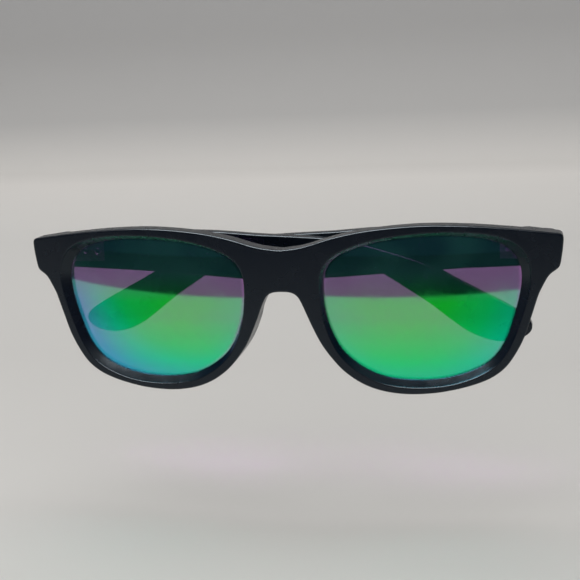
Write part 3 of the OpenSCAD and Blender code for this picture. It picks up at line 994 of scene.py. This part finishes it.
def brushed_metal(name, colour, rough, scratch_size):
    material, tree = new_material(name)
    place = node(tree, "ShaderNodeTexCoord").outputs["Object"]
    drawn = node(tree, "ShaderNodeMapping", Vector=place, Scale=(0.12, 0.12, 1.0))
    scratches = node(tree, "ShaderNodeTexNoise", Vector=drawn.outputs[0],
                     Scale=1 / scratch_size, Detail=4.0, Roughness=0.7)
    gloss = remapped(tree, scratches.outputs["Fac"], 0.3, 0.7, rough - 0.08, rough + 0.1)
    bump = node(tree, "ShaderNodeBump", Strength=0.2, Distance=SCRATCH_H,
                Height=scratches.outputs["Fac"])
    dim = [METAL_WORN * c for c in colour[:3]] + [1]
    worn = mixed(tree, scratches.outputs["Fac"], dim, colour)
    surface(material, Metallic=1.0, Base_Color=worn, Roughness=gloss,
            Normal=bump.outputs["Normal"])
    return material


leaf_metal = brushed_metal("brushed nickel silver", (0.36, 0.35, 0.33, 1), 0.3, 0.12 * MM)
screw_metal = brushed_metal("turned steel", (0.55, 0.56, 0.58, 1), 0.22, 0.06 * MM)
print("metals:", leaf_metal.name, "and", screw_metal.name)

# %% [markdown]
# Leaf screws. Every leaf is held by two small slotted screws, so one Geometry Nodes tree makes
# them all: a chamfered head on a shank, a slot cut through the head, and copies along a line.
# Its inputs are the sizes, the first screw's place, the step to the next and the turn of the
# screw's axis. Each slot stands at its own angle, from a fixed seed.

# %% Screws by Geometry Nodes
SIDE_SHARE = 0.7
CHAMFER_SHARE = 0.35
CHAMFER_TOP = 0.78
CHAMFER_SUNK = 0.02
SHANK_TIP = 0.6
SLOT_REACH = 3.0
SLOT_RISE = 0.45
SLOT_TURN = 1.2
SLOT_SEED = 7


def one_screw(tree, sizes):
    """A slotted screw: its head reaches down from about the origin, and its shank on down -Z."""
    def times(size, share):
        return maths(tree, "MULTIPLY", sizes[size], share)

    def cone(vertices, top, bottom, depth):
        return node(tree, "GeometryNodeMeshCone", Vertices=vertices, Radius_Top=top,
                    Radius_Bottom=bottom, Depth=depth).outputs["Mesh"]

    def raised(geometry, z):
        lift = node(tree, "ShaderNodeCombineXYZ", Z=z)
        return node(tree, "GeometryNodeTransform", Geometry=geometry,
                    Translation=lift.outputs[0]).outputs[0]

    radius, shank_radius = sizes["Head radius"], sizes["Shank radius"]
    side = cone(32, radius, radius, times("Head height", SIDE_SHARE))
    chamfer = cone(32, times("Head radius", CHAMFER_TOP), radius,
                   times("Head height", CHAMFER_SHARE))
    shank = cone(24, shank_radius, times("Shank radius", SHANK_TIP), sizes["Length"])
    solid = node(tree, "GeometryNodeMeshBoolean", operation="UNION", solver="EXACT")
    for part, z in ((side, times("Head height", -SIDE_SHARE)),
                    (chamfer, times("Head height", -CHAMFER_SUNK)),
                    (shank, times("Length", -1.0))):
        fed(solid, Mesh_2=raised(part, z))
    slot_size = node(tree, "ShaderNodeCombineXYZ", X=times("Head radius", SLOT_REACH),
                     Y=sizes["Slot width"], Z=sizes["Head height"])
    slot = node(tree, "GeometryNodeMeshCube", Size=slot_size.outputs[0]).outputs["Mesh"]
    cutter = raised(slot, times("Head height", SLOT_RISE))
    return node(tree, "GeometryNodeMeshBoolean", operation="DIFFERENCE", solver="EXACT",
                Mesh_1=solid.outputs[0], Mesh_2=cutter).outputs[0]


def screw_tree():
    tree, given, out = group_tree(
        "leaf screws", "GeometryNodeTree",
        [("Geometry", "Geometry"), ("Count", "Int", 2), ("First", "Vector", (0, 0, 0)),
         ("Step", "Vector", (0, 0, 0)), ("Turn", "Vector", (0, 0, 0)),
         ("Head radius", "Float", 0.95 * MM), ("Head height", "Float", 0.5 * MM),
         ("Shank radius", "Float", 0.5 * MM), ("Length", "Float", 3 * MM),
         ("Slot width", "Float", 0.28 * MM), ("Material", "Material")],
        [("Geometry", "Geometry")])
    g = given.outputs
    line = node(tree, "GeometryNodeMeshLine", mode="OFFSET", Count=g["Count"],
                Start_Location=g["First"], Offset=g["Step"])
    spin = node(tree, "FunctionNodeRandomValue", data_type="FLOAT_VECTOR",
                in0=(0.0, 0.0, -SLOT_TURN), in1=(0.0, 0.0, SLOT_TURN), Seed=SLOT_SEED)
    aimed = node(tree, "FunctionNodeRotateRotation", rotation_space="LOCAL",
                 in0=g["Turn"], in1=spin.outputs[0])
    copies = node(tree, "GeometryNodeInstanceOnPoints", Points=line.outputs[0],
                  Instance=one_screw(tree, g), Rotation=aimed.outputs[0])
    whole = node(tree, "GeometryNodeRealizeInstances", Geometry=copies.outputs[0])
    painted = node(tree, "GeometryNodeSetMaterial", Geometry=whole.outputs[0],
                   Material=g["Material"])
    fed(out, Geometry=painted.outputs[0])
    return tree


screws = screw_tree()
print("screw tree nodes:", len(screws.nodes))

# %% [markdown]
# Where the screws go. The front leaf's two screws sit one above the other beside the knuckles.
# The temple leaf's two follow the temple, so their line leans with it. Every head is sunk in
# its leaf and only its chamfer stands out.

# %% Place the screws
HINGE_H = 6 * MM
KNUCKLE_R = 1.5 * MM
HEAD_R = 0.95 * MM
HEAD_PLAY = 0.97
HEAD_SUNK = 0.1 * MM
PIN_BACK = 4.4 * MM
FRONT_SPREAD = 0.6
FRONT_SCREW_L = 2.8 * MM
LEAF_START = 1.6 * MM
LEAF_L = 9.6 * MM
SCREW_SHARES = (0.4, 0.78)
TEMPLE_SCREW_L = 2.2 * MM


def screw_pair(name, first, second, turn, length):
    return made_by(screws, name, bpy.data.meshes.new("empty"), First=first, Step=second - first,
                   Turn=Vector(turn), Head_radius=HEAD_PLAY * HEAD_R, Length=length,
                   Material=screw_metal)


screw_pieces = {}
for name, side in (("left", 1), ("right", -1)):
    low, high = (Vector((side * (pin.x + KNUCKLE_R + HEAD_R), pin.y - PIN_BACK - HEAD_SUNK,
                         pin.z + share * FRONT_SPREAD * HINGE_H)) for share in (-0.5, 0.5))
    screw_pieces[name + "_front_leaf_screws"] = screw_pair(
        name + "_front_screws", low, high, (-math.pi / 2, 0, 0), FRONT_SCREW_L)
    near, far = (Vector(on_temple(side, LEAF_START + share * LEAF_L, PIN_SIDE + HEAD_SUNK, pin.z))
                 for share in SCREW_SHARES)
    screw_pieces[name + "_temple_leaf_screws"] = screw_pair(
        name + "_temple_screws", near, far, (math.pi / 2, 0, -fold_tilt), TEMPLE_SCREW_L)
print("faces of one pair of screws:", len(screw_pieces["left_front_leaf_screws"].data.polygons))

# %% [markdown]
# Put the pieces on their bodies. The front, the lenses and the front leaves are one body, and
# each temple with its leaf is another. The hinge leaves, hinge screws and core wires keep
# their own solids from the frame and only get their metal.

# %% Bodies
def put_on(piece, body, slot, *nodes):
    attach(piece, body)
    if nodes:
        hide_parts(*nodes)


put_on(front, "front_body", "frame_plastic", "front_frame")
put_on(right_arm, "right_temple_body", "frame_plastic", "right_temple")
put_on(left_arm, "left_temple_body", "frame_plastic", "left_temple")
for name in ("right", "left"):
    put_on(lenses[name], "front_body", "mirror_lens", name + "_lens")
    put_on(lenses[name + " coat"], "front_body", "mirror_lens")
for node_name, piece in screw_pieces.items():
    body = "front_body" if "front" in node_name else node_name.split("_")[0] + "_temple_body"
    put_on(piece, body, "screw_steel", node_name)
for node_name, solid in frame["nodes"].items():
    if not solid.hide_render:
        solid.data.materials.clear()
        solid.data.materials.append(screw_metal if "screw" in node_name else leaf_metal)

# %% [markdown]
# The room. A mirrored lens shows what is in front of it, so the room matters as much as the
# lamps: the upper part of each lens mirrors a dim room in soft patches. It is a group that the
# floor and the world share, and it takes the way that a mirrored ray goes.

# %% The dim room
ROOM_DARK = (0.05, 0.05, 0.1, 1)
ROOM_DIM = (0.09, 0.085, 0.14, 1)
ROOM_PATCH = 0.2


def dim_room_group():
    tree, given, out = group_tree(
        "dim room", "ShaderNodeTree",
        [("Way", "Vector", (0, 0, 0)), ("Patch size", "Float", ROOM_PATCH)],
        [("Colour", "Color")])
    way = node(tree, "ShaderNodeVectorMath", operation="NORMALIZE", in0=given.outputs["Way"])
    patch = node(tree, "ShaderNodeTexNoise", Vector=way.outputs[0], Detail=1.0,
                 Scale=maths(tree, "DIVIDE", 1.0, given.outputs["Patch size"]))
    share = remapped(tree, patch.outputs["Fac"], 0.4, 0.62)
    fed(out, Colour=mixed(tree, share, ROOM_DARK, ROOM_DIM))
    return tree


dim_room = dim_room_group()
print(dim_room.name, "in patches of", ROOM_PATCH)

# %% [markdown]
# The table. The floor and the backdrop are one pale sheet, and its tone is painted light and
# shade: lighter on the near floor, where the object's shadow falls, changing backwards, and
# darker up the backdrop, as the light falls there. The camera meets that sheet, also through
# the lenses. The lower part of each lens mirrors it up to the table's near edge, so for mirror
# rays the floor ends at that edge and the dim room follows.

# %% Floor and backdrop
FLOOR_Z = -63 * MM
# painted light and shade of the sheet: lighter on the near floor, where the object's shadow falls,
# and darker up the backdrop
SHEET_PAINTED_LIGHT = [(0.12, (0.7, 0.69, 0.67, 1)), (0.2, (0.635, 0.625, 0.607, 1)),
                 (0.36, (0.635, 0.625, 0.607, 1)), (0.55, (0.75, 0.728, 0.702, 1)),
                 (0.62, (0.695, 0.677, 0.654, 1)), (0.75, (0.478, 0.474, 0.47, 1)),
                 (1.0, (0.445, 0.445, 0.45, 1))]
SHEET_PATH = (-0.2, 1.55)
SHEET_CLIMB = 3.0
MIRRORED_FLOOR = (0.76, 0.755, 0.75, 1)
TABLE_EDGE = -0.315
TABLE_BLUR = 0.02
TABLE_START = (0.0, -0.1)
FLOOR_NEAR = -2.5
FLOOR_WIDE = 3.0
WALL_Y = 1.0
WALL_BEND = 0.14
WALL_TOP = 2.0
BEND_STEPS = 12


def floor_material():
    material, tree = new_material("pale floor")
    place = node(tree, "ShaderNodeTexCoord").outputs["Object"]
    parts = node(tree, "ShaderNodeSeparateXYZ", in0=place)
    along = maths(tree, "MULTIPLY_ADD", parts.outputs["Z"], SHEET_CLIMB, parts.outputs["Y"])
    start, end = (at + SHEET_CLIMB * FLOOR_Z for at in SHEET_PATH)
    # painted light and shade along the floor and up the backdrop
    sheet_painted_light = ramped(tree, remapped(tree, along, start, end), SHEET_PAINTED_LIGHT)
    far = grouped(tree, dim_room, Way=place)
    beyond = remapped(tree, parts.outputs["Y"], TABLE_EDGE, TABLE_EDGE - TABLE_BLUR)
    near = remapped(tree, parts.outputs["Y"], *TABLE_START)
    table = mixed(tree, near, sheet_painted_light, MIRRORED_FLOOR)
    room = mixed(tree, beyond, table, far.outputs["Colour"])
    seen = node(tree, "ShaderNodeLightPath").outputs["Is Glossy Ray"]
    surface(material, Base_Color=mixed(tree, seen, sheet_painted_light, room), Roughness=0.9,
            Specular_IOR_Level=0.1)
    return material


def build_floor():
    mesh = bpy.data.meshes.new("floor")
    turns = np.linspace(0, math.pi / 2, BEND_STEPS + 1)
    profile = [(FLOOR_NEAR, 0.0)] + [
        (WALL_Y + WALL_BEND * (math.sin(t) - 1), WALL_BEND * (1 - math.cos(t))) for t in turns
    ] + [(WALL_Y, WALL_TOP)]
    points = [(x, y, FLOOR_Z + z) for y, z in profile for x in (-FLOOR_WIDE, FLOOR_WIDE)]
    faces = [(2 * i, 2 * i + 1, 2 * i + 3, 2 * i + 2) for i in range(len(profile) - 1)]
    mesh.from_pydata(points, [], faces)
    floor = finished("floor", mesh, floor_material())
    return floor


floor = build_floor()
print("floor at", FLOOR_Z, "m, backdrop at", WALL_Y, "m")

# %% [markdown]
# Light. Most of it is even and comes from the world. A wide ceiling light adds soft shading,
# and is hidden from mirror rays, so that no bright square shows in the lenses. The edge light
# does the opposite: it lights no dull surface and is only mirrored, as the thin bright line
# along the upper edges. For mirror rays the world is dim in front, up to half the way
# overhead, and again straight overhead, which keeps the lower bevels dark.

# %% World and lamps
WORLD_LIGHT = 0.62
DAYLIGHT = (1.0, 0.99, 0.97, 1)
DIM_AHEAD = (0.2, -0.3)
DIM_BELOW = (0.75, 0.5)
DIM_OVERHEAD = (0.88, 0.97, 0.0, 0.75)


def build_world():
    world = bpy.data.worlds.new("room")
    world.use_nodes = True
    bpy.context.scene.world = world
    tree = world.node_tree
    way = node(tree, "ShaderNodeTexCoord").outputs["Generated"]
    parts = node(tree, "ShaderNodeSeparateXYZ", in0=way)
    ahead = remapped(tree, parts.outputs["Y"], *DIM_AHEAD)
    below = remapped(tree, parts.outputs["Z"], *DIM_BELOW)
    overhead = remapped(tree, parts.outputs["Z"], *DIM_OVERHEAD)
    dark = maths(tree, "MAXIMUM", maths(tree, "MULTIPLY", ahead, below), overhead)
    seen = node(tree, "ShaderNodeLightPath").outputs["Is Glossy Ray"]
    far = grouped(tree, dim_room, Way=way)
    # the room's colours are written as they should look, so the strength is divided out
    full = mixed(tree, 1.0, far.outputs["Colour"], [WORLD_LIGHT] * 3 + [1], blend_type="DIVIDE")
    colour = mixed(tree, maths(tree, "MULTIPLY", dark, seen), DAYLIGHT, full)
    fed(tree.nodes["Background"], Color=colour, Strength=WORLD_LIGHT)


def lamp(name, place, aim, size, power):
    data = bpy.data.lights.new(name, "AREA")
    data.shape = "RECTANGLE"
    data.size, data.size_y = size
    data.energy = power
    holder = bpy.data.objects.new(name, data)
    holder.location = place
    holder.rotation_euler = (Vector(aim) - Vector(place)).to_track_quat("-Z", "Y").to_euler()
    bpy.context.scene.collection.objects.link(holder)
    return holder


build_world()
ceiling = lamp("ceiling light", (-0.25, 0.3, 1.1), (0, 0.05, 0), (1.3, 1.3), 7)
ceiling.visible_glossy = False
edge_light = lamp("edge light", (-0.18, -0.62, 1.05), (-0.08, 0, 0), (1.0, 0.36), 27)
edge_light.visible_diffuse = False
print("world light:", WORLD_LIGHT, "lamps:", ceiling.name, "and", edge_light.name)

# %% [markdown]
# The view. The Standard view transform renders a colour as it is written.

# %% View
bpy.context.scene.view_settings.view_transform = "Standard"
